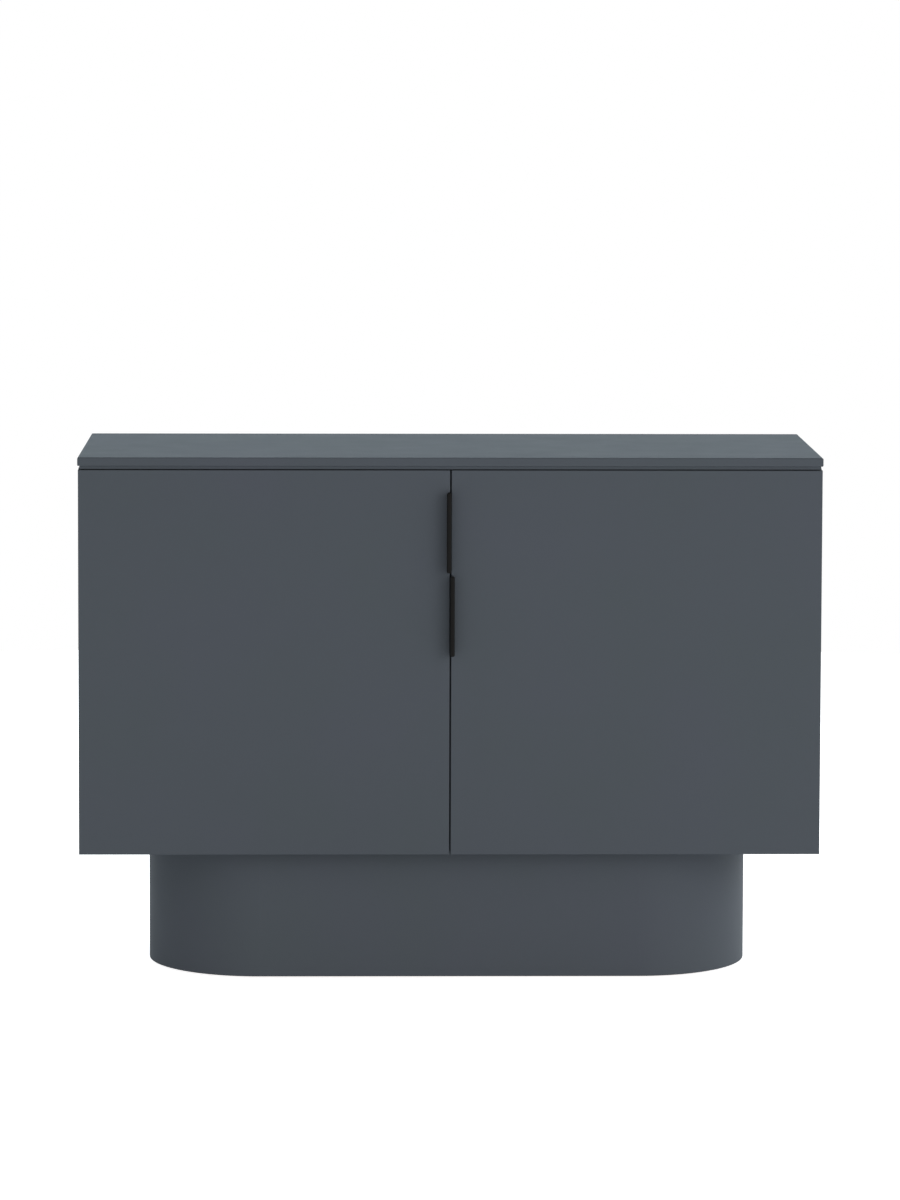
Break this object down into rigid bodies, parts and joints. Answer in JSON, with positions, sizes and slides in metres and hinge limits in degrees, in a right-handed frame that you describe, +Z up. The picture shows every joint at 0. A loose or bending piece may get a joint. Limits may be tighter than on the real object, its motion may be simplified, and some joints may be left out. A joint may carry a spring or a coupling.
{
  "type": "two-door sideboard",
  "caption": "Low storage cabinet with two hinged doors, staggered slim edge handles, an adjustable shelf in each bay and a rounded plinth.",
  "frame": {"origin": "on the floor, under the centre of the whole object's bounding box", "axes": "+X to the cabinet's right as seen from the front, +Y to its back (the doors face -Y), +Z up"},
  "size_m": [1.2, 0.47, 0.855],
  "materials": {
    "dark_lacquered_board": "matt dark blue-grey lacquer on MDF",
    "back_hardboard": "painted 3 mm hardboard, satin",
    "raw_board": "raw MDF",
    "beech": "plain fluted beech",
    "felt": "dark felt",
    "black_anodised": "black satin anodised",
    "zinc_casting": "bright die-cast zinc",
    "zinc_steel": "zinc-plated steel",
    "hinge_steel": "nickel-plated pressed steel",
    "hinge_pin_steel": "polished steel",
    "clear_bumper": "clear soft polyurethane"
  },
  "bodies": {
    "cabinet": {"top_board": "dark_lacquered_board", "side_panel_left": "dark_lacquered_board", "side_panel_right": "dark_lacquered_board", "bottom_panel": "dark_lacquered_board", "centre_partition": "dark_lacquered_board", "shelf_left": "dark_lacquered_board", "shelf_right": "dark_lacquered_board", "plinth_shell": "dark_lacquered_board", "back_panel_left": "back_hardboard", "back_panel_right": "back_hardboard", "plinth_top_plate": "raw_board", "plinth_bottom_plate": "raw_board", "plinth_ribs": "raw_board", "dowels": "beech", "plinth_glides": "felt", "cam_locks": "zinc_casting", "cam_bolts": "zinc_steel", "partition_screws": "zinc_steel", "plate_screws": "zinc_steel", "arm_screws": "zinc_steel", "plinth_bolts": "zinc_steel", "plinth_inserts": "zinc_steel", "shelf_pins": "zinc_steel", "hinge_plates_left": "hinge_steel", "hinge_arms_left": "hinge_steel", "hinge_arm_pins_left": "hinge_pin_steel", "hinge_plates_right": "hinge_steel", "hinge_arms_right": "hinge_steel", "hinge_arm_pins_right": "hinge_pin_steel"},
    "left_hinge_levers": {"hinge_levers_left": "hinge_steel"},
    "left_door": {"door_left": "dark_lacquered_board", "handle_left": "black_anodised", "handle_screws_left": "zinc_steel", "door_bumpers_left": "clear_bumper", "hinge_cups_left": "hinge_steel", "hinge_cup_pins_left": "hinge_pin_steel", "cup_screws_left": "zinc_steel"},
    "right_hinge_levers": {"hinge_levers_right": "hinge_steel"},
    "right_door": {"door_right": "dark_lacquered_board", "handle_right": "black_anodised", "handle_screws_right": "zinc_steel", "door_bumpers_right": "clear_bumper", "hinge_cups_right": "hinge_steel", "hinge_cup_pins_right": "hinge_pin_steel", "cup_screws_right": "zinc_steel"}
  },
  "joints": [
    {"name": "left_hinge_lever_turn", "type": "hinge", "parent": "cabinet", "child": "left_hinge_levers", "pos_m": [-0.57, -0.204, 0.52225], "axis": [0, 0, -1], "range_deg": [-31.68, 0]},
    {"name": "left_door_swing", "type": "hinge", "parent": "left_hinge_levers", "child": "left_door", "pos_m": [-0.58856, -0.20599, 0.52225], "axis": [0, 0, -1], "range_deg": [0, 126.67]},
    {"name": "right_hinge_lever_turn", "type": "hinge", "parent": "cabinet", "child": "right_hinge_levers", "pos_m": [0.57, -0.204, 0.52225], "axis": [0, 0, 1], "range_deg": [-31.68, 0]},
    {"name": "right_door_swing", "type": "hinge", "parent": "right_hinge_levers", "child": "right_door", "pos_m": [0.58856, -0.20599, 0.52225], "axis": [0, 0, 1], "range_deg": [0, 126.67]}
  ],
  "couplings": [
    {"joint": "left_hinge_lever_turn", "follows": "left_door_swing", "ratio": -0.25},
    {"joint": "right_hinge_lever_turn", "follows": "right_door_swing", "ratio": -0.25}
  ]
}
